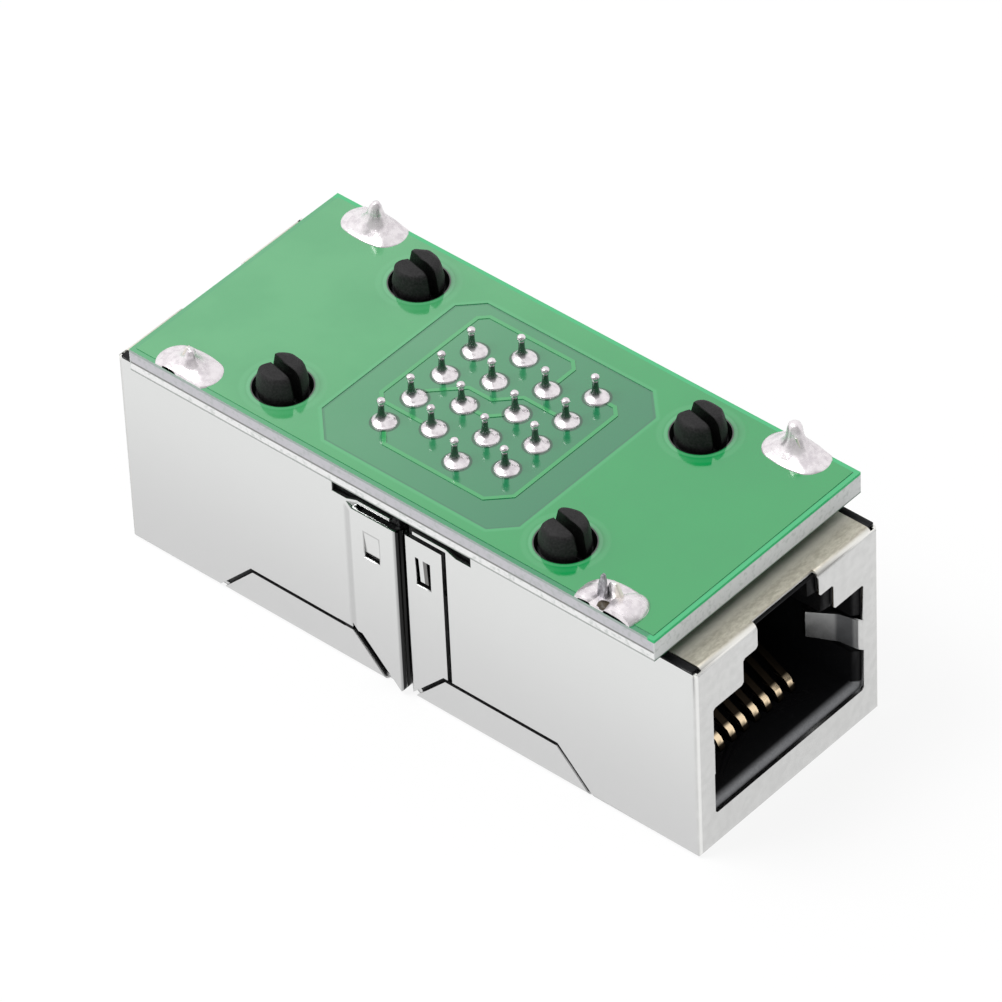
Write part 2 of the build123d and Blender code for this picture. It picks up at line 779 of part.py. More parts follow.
def circuit_board():
    """The board: laminate with raised copper on both sides, drilled for pins, pegs and shield tabs."""
    board = plan_slab(Rectangle(board_length, board_width), board_bottom, laminate_top)
    pour = Rectangle(board_length - 2 * pour_inset, board_width - 2 * pour_inset) - window_outline()
    pads = [Pos(x, y) * RegularPolygon(solder_radius, solder_side_count) for x, y in pin_places()]
    copper = Sketch() + [pour] + upper_traces() - pads
    board += plan_slab(copper, laminate_top, board_top)
    board += plan_slab(Sketch() + lower_traces(), board_bottom - copper_relief, board_bottom)

    holes = [Pos(x, y) * RegularPolygon(pin_hole_radius, pin_side_count) for x, y in pin_places()]
    for end in (-1, 1):
        for side in (-1, 1):
            holes.append(Pos(end * (face_x - peg_from_face), side * peg_offset) * Circle(peg_hole_radius))
            tab_place = Pos(end * (face_x - tab_from_face), side * tab_pad_from_middle)
            holes.append(tab_place * Rectangle(tab_slot_length, tab_slot_width))
    return board - plan_slab(Sketch() + holes, board_bottom - beyond, board_top + beyond)


def build_nodes():
    """Every piece under the name of its node."""
    shell, moulding, insert = folded_shell(), housing(), contact_insert()
    nodes = {
        "circuit_board": circuit_board(),
        "shell_a": shell,
        "shell_b": turned(shell),
        "housing_a": moulding,
        "housing_b": turned(moulding),
        "contact_insert_a": insert,
        "contact_insert_b": turned(insert),
    }
    for number in range(1, contact_count + 1):
        formed, joint = contact(number), pin_solder(number)
        nodes[f"contact_a{number}"] = formed
        nodes[f"contact_b{number}"] = turned(formed)
        nodes[f"pin_solder_a{number}"] = joint
        nodes[f"pin_solder_b{number}"] = turned(joint)
    for jack in ("a", "b"):
        for hand in ("left", "right"):
            nodes[f"tab_solder_{jack}_{hand}"] = tab_solder(jack, hand)
    return nodes


os.makedirs("parts", exist_ok=True)
for node, solid in build_nodes().items():
    export_step(solid, f"parts/{node}.step")
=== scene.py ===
"""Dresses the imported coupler: soldered green board on top, two plated metal shields, black plastic mouths."""

import math

import bmesh
import bpy
from mathutils import Matrix, Vector, noise


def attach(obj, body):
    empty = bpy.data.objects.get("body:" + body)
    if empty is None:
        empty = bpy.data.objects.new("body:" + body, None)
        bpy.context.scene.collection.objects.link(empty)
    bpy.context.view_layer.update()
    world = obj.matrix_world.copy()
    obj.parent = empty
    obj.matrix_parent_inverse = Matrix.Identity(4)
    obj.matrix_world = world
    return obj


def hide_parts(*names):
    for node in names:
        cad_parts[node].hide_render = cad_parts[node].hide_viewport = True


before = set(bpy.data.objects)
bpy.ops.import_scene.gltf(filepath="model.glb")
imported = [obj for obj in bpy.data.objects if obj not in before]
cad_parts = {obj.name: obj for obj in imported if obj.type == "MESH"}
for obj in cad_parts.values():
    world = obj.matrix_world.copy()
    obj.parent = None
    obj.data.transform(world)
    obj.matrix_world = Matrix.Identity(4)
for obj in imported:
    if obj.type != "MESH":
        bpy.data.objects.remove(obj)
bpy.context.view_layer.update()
# Blender seeds its vector noise from the clock, so a fixed seed keeps every run the same
noise.seed_set(1)

MM = 0.001
SIDE = {"a": 1, "b": -1, "right": 1, "left": -1}

# Heights on the coupler, in millimetres
SHELL_TOP = 13.8
BOARD_BOTTOM = 14.3
SCORE_LINE = 14.9
LAMINATE_TOP = 15.8
BOARD_TOP = 15.84

# The board: its half length and width, its copper and what stands in it, with the pegs' turn in degrees
HALF_BOARD = (19.2, 8.75)
POUR_INSET = 0.3
WINDOW_LOW = (-7.4, -7.65)
WINDOW_HIGH = (7.6, 6.75)
WINDOW_CUTS = {"lower_left": 1.9, "lower_right": 1.3, "upper_right": 1.6, "upper_left": 1.3}
PAD_RADIUS = 0.8
PIN_ROWS = (1.38, 3.92)
PIN_PITCH = 1.27
PEG_PLACE = (10.35, 5.715)
PEG_HOLE_RADIUS = 1.82
PEG_TURN = 12
PEG_SLOT_HALF = 0.29
TAB_PLACE = (15.5, 7.75)

# Details of the shield's wall beside the middle of the coupler
JOGGLE = 3.95
LAP_WINDOW_CENTRE = (2.02, 10.17)
LAP_WINDOW_HALF = (0.575, 0.78)
TONGUE_CENTRE = (1.66, 9.97)
LAP_SLOT_HEIGHT = 2.6

# Edges: a sheared sheet's burr, and the bends in degrees that count as sharp
BURR = 0.05
SHARP_SHEET = 32
SHARP_PIECE = 50

FLOOR_DROP = 0.02
FLOOR_HALF = 3000

# The photograph's camera: its angles in degrees, its lens in pixels and the rest in millimetres. The last
# line is the level direction from the coupler to it.
CAMERA_ANGLES = (42.8004, 41.6381, -2.7276)
CAMERA_DISTANCE = 469.9448
CAMERA_SLIDE = (0.0134, 6.4618)
CAMERA_LIFT = 0.4
FOCAL_PIXELS = 8319.35
PICTURE_PIXELS = 1002
SENSOR = 36
TOWARDS_CAMERA = (0.679, -0.734, 0)


def pin_place(jack, number):
    """Where a board pin stands, in millimetres."""
    return SIDE[jack] * PIN_ROWS[number % 2], SIDE[jack] * (4.5 - number) * PIN_PITCH


# Materials


class Signal:
    """A value that runs through a material, so that sums on it are written as Python."""

    def __init__(self, finish, socket):
        self.finish = finish
        self.socket = socket

    def _maths(self, operation, *values):
        return self.finish.node("Math", {"operation": operation}, dict(enumerate(values)))

    def __add__(self, other):
        return self._maths("ADD", self, other)

    def __sub__(self, other):
        return self._maths("SUBTRACT", self, other)

    def __rsub__(self, other):
        return self._maths("SUBTRACT", other, self)

    def __mul__(self, other):
        return self._maths("MULTIPLY", self, other)

    def __pow__(self, other):
        return self._maths("POWER", self, other)

    def __abs__(self):
        return self._maths("ABSOLUTE", self)

    def at_least(self, other):
        return self._maths("MAXIMUM", self, other)


class Finish:
    """One material of the coupler, or the studio's world."""

    def __init__(self, owner):
        owner.use_nodes = True
        self.owner = owner
        self.tree = owner.node_tree
        self.tree.nodes.clear()

    def node(self, kind, settings=None, sockets=None, output=0):
        """Add any node: its settings first, then the values or links of its sockets."""
        made = self.tree.nodes.new("ShaderNode" + kind)
        for name, value in (settings or {}).items():
            setattr(made, name, value)
        for name, value in (sockets or {}).items():
            if isinstance(value, Signal):
                self.tree.links.new(value.socket, made.inputs[name])
            else:
                made.inputs[name].default_value = value
        return Signal(self, made.outputs[output]) if made.outputs else None

    def place(self):
        """Object coordinates in millimetres."""
        here = self.node("TexCoord", output="Object")
        return self.node("VectorMath", {"operation": "SCALE"}, {0: here, "Scale": 1 / MM})

    def axes(self, vector):
        return [self.node("SeparateXYZ", sockets={0: vector}, output=axis) for axis in "XYZ"]

    def stretched(self, vector, *scale):
        return self.node("VectorMath", {"operation": "MULTIPLY"}, {0: vector, 1: scale})

    def grain(self, vector, scale, detail=3.0, roughness=0.5):
        """Noise round a half, with this many grains to the millimetre."""
        sockets = {"Vector": vector, "Scale": scale, "Detail": detail, "Roughness": roughness}
        return self.node("TexNoise", sockets=sockets)

    def step(self, value, low, high, start=0.0, end=1.0):
        """Goes smoothly from start to end while a signal goes from low to high."""
        sockets = {"Value": value, "From Min": low, "From Max": high, "To Min": start, "To Max": end}
        return self.node("MapRange", {"interpolation_type": "SMOOTHSTEP"}, sockets)

    def band(self, value, rise, fall):
        """One between two steps, each given as the places where it starts and ends."""
        return self.step(value, *rise) * self.step(value, fall[1], fall[0])

    def line(self, value, centre, half, soft):
        """One where a signal is at the centre, nought away from it."""
        return self.step(abs(value - centre), half, half + soft, 1.0, 0.0)

    def blend(self, mask, under, over):
        """The colour under a mask where it is nought, and the one over it where it is one."""
        colours = [each if isinstance(each, Signal) else (*each, 1.0) for each in (under, over)]
        return self.node("Mix", {"data_type": "RGBA"}, {0: mask, 6: colours[0], 7: colours[1]}, 2)

    def layered(self, colour, *layers):
        """A colour with layers laid over it in turn, each a mask and its own colour."""
        for mask, over in layers:
            colour = self.blend(mask, colour, over)
        return colour

    def bump(self, height, depth, normal=None):
        """Bump whose full height is this many millimetres."""
        sockets = {"Height": height, "Distance": depth * MM, "Strength": 1.0}
        if normal:
            sockets["Normal"] = normal
        return self.node("Bump", sockets=sockets)

    def close(self, sockets):
        """End the material in a Principled shader."""
        shader = self.node("BsdfPrincipled", sockets=sockets)
        self.node("OutputMaterial", sockets={"Surface": shader})
        return self.owner


def srgb(*screen):
    """A colour given as its red, green and blue screen values, turned into light."""
    return tuple(((part / 255 + 0.055) / 1.055) ** 2.4 if part > 10 else part / 3295 for part in screen)


def new_finish(name):
    return Finish(bpy.data.materials.new(name))


def from_window_edge(x, y):
    """Signed distance to the edge of the copper-free window with its cut corners, negative inside."""
    (low_x, low_y), (high_x, high_y) = WINDOW_LOW, WINDOW_HIGH
    diagonal = math.sqrt(0.5)
    edge = (x - high_x).at_least(low_x - x).at_least((y - high_y).at_least(low_y - y))
    edge = edge.at_least((x + y - (high_x + high_y - WINDOW_CUTS["upper_right"])) * diagonal)
    edge = edge.at_least((low_x + low_y + WINDOW_CUTS["lower_left"] - x - y) * diagonal)
    edge = edge.at_least((x - y - (high_x - low_y - WINDOW_CUTS["lower_right"])) * diagonal)
    return edge.at_least((y - x - (high_y - low_x - WINDOW_CUTS["upper_left"])) * diagonal)


def solder_mask_board():
    """Green mask over copper and laminate on both faces, bare glass laminate on the sawn edges."""
    finish = new_finish("green_mask_board")
    place = finish.place()
    x, y, z = finish.axes(place)
    mottle = finish.grain(place, 0.25, 4.0)
    fine = finish.grain(place, 9.0, 2.0)
    fibres = finish.grain(place, 3.5, 4.0)
    copper = finish.step(z, LAMINATE_TOP + 0.01, LAMINATE_TOP + 0.038)
    window = from_window_edge(x, y)
    in_window = finish.step(window, -0.2, -0.1, 1.0, 0.0)
    peg_x, peg_y = abs(x) - PEG_PLACE[0], abs(y) - PEG_PLACE[1]
    from_peg = (peg_x * peg_x + peg_y * peg_y) ** 0.5
    from_end, from_side = abs(x) - HALF_BOARD[0], abs(y) - HALF_BOARD[1]
    rim = finish.step(from_end.at_least(from_side), -POUR_INSET - 0.02, -POUR_INSET + 0.06)
    far_sides = finish.step(x, 18.6, 18.8).at_least(finish.step(y, 8.2, 8.4))

    green = finish.layered(
        finish.blend(copper, srgb(6, 116, 74), srgb(4, 150, 76)),
        # Painted light making it lighter towards jack B, random mottling, and round the window a painted
        # highlight outside its edge with painted shade inside it
        (finish.step(x, -19.0, 14.0, 0.6, 0.0), srgb(98, 172, 120)),
        (finish.step(mottle, 0.35, 0.7, 0.0, 0.2), srgb(14, 134, 74)),
        (finish.line(window, 0.08, 0.05, 0.16) * 0.22, srgb(90, 190, 130)),
        (finish.line(window, -0.06, 0.03, 0.08) * 0.45, srgb(30, 96, 70)),
        (in_window * copper * 0.1, srgb(84, 186, 112)),
        # Two pale rings round each peg's hole
        (finish.line(from_peg, 1.95, 0.04, 0.1) * 0.35, srgb(110, 190, 140)),
        (finish.line(from_peg, 2.3, 0.06, 0.2) * 0.12, srgb(110, 196, 140)),
    )
    # Painted shade in a thin dark ring round each pin's pad
    for jack in ("a", "b"):
        for number in range(1, 9):
            pin_x, pin_y = pin_place(jack, number)
            from_pin = (((x - pin_x) ** 2.0) + ((y - pin_y) ** 2.0)) ** 0.5
            green = finish.blend(finish.line(from_pin, PAD_RADIUS, 0.03, 0.07) * 0.8, green, srgb(16, 62, 42))
    # A painted highlight along the board's edges, strong on the far sides and faint on the others
    green = finish.blend(rim * (far_sides * 0.75 + 0.2), green, srgb(4, 176, 104))

    on_end = finish.step(abs(x), HALF_BOARD[0] - 0.06, HALF_BOARD[0] - 0.02)
    above_score = finish.step(z, SCORE_LINE - 0.04, SCORE_LINE + 0.06)
    lip = finish.step(z, LAMINATE_TOP - 0.24, LAMINATE_TOP - 0.16)
    edge = finish.layered(
        finish.blend(above_score, srgb(230, 230, 230), srgb(188, 187, 192)),
        (finish.line(z, SCORE_LINE, 0.03, 0.07) * 0.9, srgb(104, 104, 102)),
        (finish.step(z, BOARD_BOTTOM + 0.14, BOARD_BOTTOM + 0.06) * 0.7, srgb(110, 114, 112)),
        (on_end, srgb(212, 215, 214)),
        (finish.step(fibres, 0.48, 0.72, 0.0, 0.4), srgb(150, 160, 154)),
        (finish.step(z, BOARD_BOTTOM + 0.12, BOARD_BOTTOM + 0.02) * on_end, srgb(10, 80, 50)),
        # The mask's own thickness, with a painted highlight making it bright on the far sides
        (lip * far_sides, srgb(8, 180, 106)),
        (lip * (1 - far_sides) * 0.6, srgb(120, 150, 134)),
    )
    on_face = finish.step(z, LAMINATE_TOP - 0.02, LAMINATE_TOP - 0.01)
    under = finish.step(z, BOARD_BOTTOM + 0.02, BOARD_BOTTOM + 0.005)
    colour = finish.layered(
        edge,
        (on_face, green),
        (under, srgb(12, 92, 52)),
        # Painted shade, near black, within each peg's hole
        (finish.step(from_peg, PEG_HOLE_RADIUS + 0.04, PEG_HOLE_RADIUS - 0.04), srgb(12, 20, 16)),
    )
    masked = on_face.at_least(under)
    return finish.close({
        "Base Color": colour,
        "Roughness": finish.step(masked, 0.0, 1.0, 0.6, 0.12) + (fine - 0.5) * 0.05,
        "IOR": 1.55,
        "Coat Weight": masked,
        "Coat Roughness": 0.07,
        "Coat IOR": 1.6,
        "Normal": finish.bump(fine, 0.002, finish.bump(mottle, 0.02)),
    })


def plated_sheet(name, edge_highlight=0.0):
    """Thin plated steel: smooth walls, a faintly mottled face and a brushed top flange, with painted shade and
    highlights.
    """
    finish = new_finish(name)
    place = finish.place()
    x, y, z = finish.axes(place)
    out, aside = abs(x), abs(y)
    cloud = finish.grain(place, 1.6, 3.0, 0.5)
    speck = finish.grain(place, 14.0, 2.0)
    across = finish.grain(finish.stretched(place, 4.0, 1.6, 1.0), 1.5, 4.0, 0.65)

    on_face = finish.step(out, 20.85, 21.1)
    on_top = finish.step(z, SHELL_TOP - 0.2, SHELL_TOP - 0.08) * finish.step(out, 15.5, 15.8)
    # Painted shade: the walls darker towards the bottom
    wall = finish.blend(finish.step(z, 0.0, SHELL_TOP, 1.0, 0.0), srgb(224, 225, 224), srgb(206, 206, 206))
    face = finish.blend(finish.step(cloud, 0.3, 0.7), srgb(212, 212, 211), srgb(206, 206, 205))
    brushed = finish.layered(
        finish.blend(finish.step(across, 0.3, 0.7), srgb(178, 172, 158), srgb(206, 201, 188)),
        # Painted light on the brushed flange near the board's edge
        (finish.step(out, 20.1, 19.3) * 0.8, srgb(250, 246, 236)),
    )

    # Painted highlights on the bends round the face and its corners, and painted shade on the spring fingers
    # inside the mouth
    bend_highlight = on_face * finish.step(z, SHELL_TOP - 0.45, SHELL_TOP - 0.25) * finish.step(out, 21.22, 21.16)
    corner = finish.step(out, 21.0, 21.12) * finish.band(aside, (7.52, 7.6), (7.66, 7.73))
    finger = finish.step(aside, 6.35, 6.25) * finish.band(z, (5.2, 5.3), (7.8, 7.9))
    finger_shade = finger * finish.band(out, (19.6, 19.85), (20.6, 20.85))

    # The lapped wall beside the middle, with painted shade at its joggle, over its curled edge and round its
    # window, painted black where the curl meets the gap between the jacks; its slot; and painted shade on the
    # other wall's tongue
    on_side = finish.step(aside, 7.2, 7.4)
    lapped = finish.step(x * y, 0.0, 0.4) * on_side
    joggle = finish.line(out, JOGGLE, 0.14, 0.3) * finish.band(z, (2.7, 2.9), (11.7, 12.0))
    window_x = abs(out - LAP_WINDOW_CENTRE[0]) - LAP_WINDOW_HALF[0]
    window_z = abs(z - LAP_WINDOW_CENTRE[1]) - LAP_WINDOW_HALF[1]
    lap_window = finish.line(window_x.at_least(window_z), 0.0, 0.03, 0.05)
    tongue = finish.line(out, TONGUE_CENTRE[0], 0.12, 0.04) * finish.line(z, TONGUE_CENTRE[1], 0.85, 0.05)
    slot = finish.line(z, LAP_SLOT_HEIGHT, 0.1, 0.05) * finish.band(out, (3.95, 4.0), (5.2, 5.3))

    colour = finish.layered(
        wall,
        (on_face, face),
        (on_top, brushed),
        (bend_highlight * 0.9, srgb(246, 245, 240)),
        (corner * 0.7, srgb(244, 244, 242)),
        (finger_shade * 0.8, srgb(96, 97, 100)),
        (lapped * joggle * 0.5, srgb(176, 176, 176)),
        (lapped * finish.step(out, 0.46, 0.24) * 0.55, srgb(112, 112, 113)),
        (lapped * finish.step(out, 0.24, 0.18) * 0.95, srgb(8, 8, 8)),
        (lapped * lap_window * 0.35, srgb(112, 112, 112)),
        (tongue * on_side * (1 - lapped) * 0.85, srgb(84, 82, 80)),
        (lapped * slot, srgb(10, 10, 10)),
        # A painted highlight laid over everything, used for the sheared edges
        (edge_highlight, (1.0, 1.0, 1.0)),
    )
    return finish.close({
        "Base Color": colour,
        "Metallic": 1.0,
        "Roughness": finish.step(cloud, 0.35, 0.7, 0.22, 0.25) + on_top * 0.25 + (speck - 0.5) * 0.03,
        "Normal": finish.bump(across * on_top + speck * 0.2, 0.004, finish.bump(cloud, 0.0006)),
    })


def black_moulding():
    """Black glass-filled nylon, a little worn, with a painted highlight making it pale on the sill of the
    mouth.
    """
    finish = new_finish("black_moulding")
    place = finish.place()
    x, _, z = finish.axes(place)
    grain = finish.grain(place, 7.0, 4.0, 0.65)
    scuff = finish.grain(finish.stretched(place, 1.0, 1.0, 0.4), 2.2, 5.0, 0.7)
    # Painted highlight on the sill of the mouth
    sill = finish.band(abs(x), (20.35, 20.75), (20.9, 21.05)) * finish.step(z, 3.0, 2.85)
    return finish.close({
        "Base Color": finish.layered(
            finish.blend(finish.step(scuff, 0.58, 0.74), (0.006, 0.006, 0.007), (0.014, 0.014, 0.015)),
            (sill * finish.step(grain, 0.3, 0.7, 0.8, 1.0), srgb(150, 151, 154)),
        ),
        "Roughness": finish.step(grain, 0.3, 0.7, 0.4, 0.55),
        "Specular IOR Level": 0.16,
        "Normal": finish.bump(grain, 0.012),
    })


def black_peg():
    """Grainy matt black on the pegs, and painted shade, near black, inside their split."""
    finish = new_finish("black_peg")
    place = finish.place()
    x, y, _ = finish.axes(place)
    grain = finish.grain(place, 8.0, 5.0, 0.7)
    peg_x = x - finish.step(x, -0.1, 0.1, -PEG_PLACE[0], PEG_PLACE[0])
    peg_y = y - finish.step(y, -0.1, 0.1, -PEG_PLACE[1], PEG_PLACE[1])
    turn = math.radians(PEG_TURN)
    from_split = abs(peg_x * math.sin(turn) + peg_y * math.cos(turn))
    return finish.close({
        "Base Color": finish.layered(
            finish.blend(finish.step(grain, 0.35, 0.7), srgb(22, 21, 22), srgb(44, 43, 44)),
            # Painted shade inside the split
            (finish.step(from_split, PEG_SLOT_HALF + 0.08, PEG_SLOT_HALF + 0.02), (0.001, 0.001, 0.001)),
        ),
        "Roughness": finish.step(grain, 0.3, 0.7, 0.45, 0.65),
        "Specular IOR Level": 0.22,
        "Normal": finish.bump(grain, 0.035),
    })


def gold_plate():
    """Gold contacts with a painted highlight, pale and smoother, in a band near their bend, and painted dark
    elsewhere as their reflection of the dark housing.
    """
    finish = new_finish("gold_plate")
    place = finish.place()
    z = finish.axes(place)[2]
    wear = finish.grain(place, 2.5, 4.0)
    # Painted highlight in a band near the bend, painted dark reflection elsewhere
    contact_highlight = finish.band(z, (3.12, 3.3), (3.56, 3.72))
    dark_reflection = finish.blend(wear, srgb(34, 29, 24), srgb(52, 44, 34))
    return finish.close({
        "Base Color": finish.blend(contact_highlight, dark_reflection, srgb(250, 226, 190)),
        "Metallic": 1.0,
        "Roughness": finish.step(contact_highlight, 0.0, 1.0, 0.5, 0.2),
        "Normal": finish.bump(wear, 0.004),
    })


def bright_solder(name, metal, shaft_reflection=0.0):
    """Bright tin solder with slight ripples and frosted patches. A pin's shaft can carry a painted dark green
    reflection of the board below its tip.
    """
    finish = new_finish(name)
    place = finish.place()
    height = finish.axes(place)[2] - BOARD_TOP
    ripple = finish.grain(place, 1.6, 3.0)
    frost = finish.grain(place, 2.2, 3.0, 0.6)
    on_shaft = finish.band(height, (0.16, 0.36), (1.12, 1.24))
    return finish.close({
        "Base Color": finish.layered(
            finish.blend(finish.step(frost, 0.4, 0.7, 0.0, 0.6), srgb(236, 230, 233), srgb(196, 188, 194)),
            # Painted reflection of the green board on a pin's shaft
            (on_shaft * shaft_reflection, srgb(62, 84, 74)),
        ),
        "Metallic": metal,
        "Roughness": finish.step(ripple, 0.35, 0.7, 0.22, 0.32),
        "Normal": finish.bump(ripple, 0.03),
    })


def rough_tab():
    """The grey end of the shield's own tab, rough from the shear."""
    finish = new_finish("rough_tab")
    grain = finish.grain(finish.stretched(finish.place(), 1.0, 1.0, 0.5), 6.0, 5.0, 0.7)
    return finish.close({
        "Base Color": finish.blend(finish.step(grain, 0.35, 0.65), srgb(120, 120, 124), srgb(190, 190, 194)),
        "Metallic": 1.0,
        "Roughness": finish.step(grain, 0.3, 0.7, 0.3, 0.5),
        "Normal": finish.bump(grain, 0.04),
    })


def dark_flux():
    """Brown flux left in a solder hole."""
    finish = new_finish("dark_flux")
    clot = finish.grain(finish.place(), 4.0, 4.0)
    return finish.close({
        "Base Color": finish.blend(clot, srgb(24, 19, 11), srgb(74, 61, 38)),
        "Roughness": finish.step(clot, 0.3, 0.7, 0.3, 0.55),
        "Normal": finish.bump(clot, 0.05),
    })


board_finish = solder_mask_board()
sheet_finish = plated_sheet("plated_sheet")
# The sheared edges' finish: the sheet with a painted highlight
cut_edge_highlight_finish = plated_sheet("sheared_edge_highlight", edge_highlight=0.45)
moulding_finish = black_moulding()
peg_finish = black_peg()
gold_finish = gold_plate()
solder_finish = bright_solder("bright_solder", metal=0.6)
pin_finish = bright_solder("tinned_pin", metal=1.0, shaft_reflection=0.85)
tab_finish = rough_tab()
flux_finish = dark_flux()


# Pieces


def set_down(form, name, slot, *finishes, smooth=True, replaced=()):
    """Turn a bmesh in millimetres into a piece that rides on the coupler."""
    form.normal_update()
    for face in form.faces:
        face.smooth = smooth
    mesh = bpy.data.meshes.new(name)
    form.to_mesh(mesh)
    form.free()
    mesh.transform(Matrix.Scale(MM, 4))
    for finish in finishes:
        mesh.materials.append(finish)
    piece = bpy.data.objects.new(name, mesh)
    bpy.context.scene.collection.objects.link(piece)
    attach(piece, "root")
    if replaced:
        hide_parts(*replaced)
    return piece


def lathe(profile, steps):
    """Turn a profile of radius and height round the upright axis into a closed shape."""
    form = bmesh.new()
    points = [form.verts.new((radius, 0, height)) for radius, height in profile]
    edges = [form.edges.new(pair) for pair in zip(points, points[1:])]
    bmesh.ops.spin(form, geom=points + edges, axis=(0, 0, 1), cent=(0, 0, 0), angle=math.tau, steps=steps,
                   use_merge=True)
    bmesh.ops.remove_doubles(form, verts=form.verts, dist=1e-4)
    bmesh.ops.recalc_face_normals(form, faces=form.faces)
    return form


def cut_away(form, point, outward):
    """Cut everything beyond a plane and close the cut with a crisp rim."""
    everything = form.verts[:] + form.edges[:] + form.faces[:]
    cut = bmesh.ops.bisect_plane(form, geom=everything, dist=1e-5, plane_co=point, plane_no=outward,
                                 clear_outer=True)
    rim = [item for item in cut["geom_cut"] if isinstance(item, bmesh.types.BMEdge)]
    if rim:
        bmesh.ops.holes_fill(form, edges=rim, sides=0)
        for edge in rim:
            edge.smooth = False


def copied(node):
    """A CAD node's mesh in millimetres with its loose corners joined and its flat faces whole."""
    form = bmesh.new()
    form.from_mesh(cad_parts[node].data)
    bmesh.ops.scale(form, vec=(1 / MM, 1 / MM, 1 / MM), verts=form.verts)
    bmesh.ops.remove_doubles(form, verts=form.verts, dist=0.002)
    bmesh.ops.dissolve_limit(form, angle_limit=math.radians(0.6), verts=form.verts, edges=form.edges)
    return form


def soften(form, width, sharp=SHARP_SHEET, segments=1):
    """Round every sharp edge and return the faces made there."""
    edges = [edge for edge in form.edges if edge.is_manifold and edge.calc_face_angle() > math.radians(sharp)]
    made = bmesh.ops.bevel(form, geom=edges, offset=width, offset_type="OFFSET", affect="EDGES",
                           segments=segments, profile=0.5, clamp_overlap=True, material=-1)
    return made["faces"]


def even_shading(piece):
    """Keep flat faces flat while their rounded edges shade smoothly."""
    modifier = piece.modifiers.new("even_shading", "WEIGHTED_NORMAL")
    modifier.mode = "FACE_AREA"
    modifier.weight = 100


def repaint(node, finish):
    """Give a CAD node that is shown as it is a material of its own."""
    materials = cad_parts[node].data.materials
    materials.clear()
    materials.append(finish)


def folded_shield(jack):
    """The folded shield with its sheared edges rounded to catch the light, and painted lighter as a highlight.
    """
    form = copied(f"shell_{jack}")
    for face in soften(form, BURR):
        face.material_index = 1
    even_shading(set_down(form, f"folded_shield_{jack}", "shield_metal", sheet_finish, cut_edge_highlight_finish,
                          replaced=[f"shell_{jack}"]))


def moulded_housing(jack):
    """The moulded housing below the board. Its pegs above are made by themselves."""
    form = copied(f"housing_{jack}")
    cut_away(form, (0, 0, BOARD_TOP - 0.4), (0, 0, 1))
    even_shading(set_down(form, f"moulded_housing_{jack}", "black_moulding", moulding_finish, smooth=False,
                          replaced=[f"housing_{jack}"]))


def contact_strip(jack, number):
    """A gold contact below the board. Its pin above is made with its solder."""
    form = copied(f"contact_{jack}{number}")
    cut_away(form, (0, 0, LAMINATE_TOP - 0.2), (0, 0, 1))
    soften(form, BURR)
    even_shading(set_down(form, f"contact_strip_{jack}{number}", "gold_contact", gold_finish,
                          replaced=[f"contact_{jack}{number}"]))


def soldered_pin(jack, number):
    """A tinned pin with its round tip, and the low solder dome that it stands in."""
    tilt = noise.noise_vector(Vector((number * 3.7, 11.0 if jack == "a" else 4.0, 0.5)))
    rim = 0.73 + 0.02 * tilt.z
    dome = [(0, -0.24), (rim - 0.02, -0.24), (rim, -0.02), (rim - 0.03, 0.035), (0.6, 0.085), (0.44, 0.13)]
    shaft = [(0.32, 0.21), (0.235, 0.36), (0.2, 0.56), (0.18, 0.81), (0.175, 1.08)]
    tip = [(0.205, 1.2), (0.245, 1.3), (0.252, 1.4), (0.22, 1.49), (0.14, 1.55), (0, 1.57)]
    form = lathe(dome + shaft + tip, 40)
    x, y = pin_place(jack, number)
    # The shaft stands off the middle of its dome, more so towards jack B
    off_middle = 0.018 * x - 0.16
    for vertex in form.verts:
        rise = max(vertex.co.z, 0)
        vertex.co.x += tilt.x * 0.05 * rise + off_middle * min(1, rise / 0.12)
        vertex.co.y += tilt.y * 0.05 * rise
    bmesh.ops.translate(form, vec=(x, y, BOARD_TOP), verts=form.verts)
    set_down(form, f"soldered_pin_{jack}{number}", "solder", pin_finish,
             replaced=[f"pin_solder_{jack}{number}"])


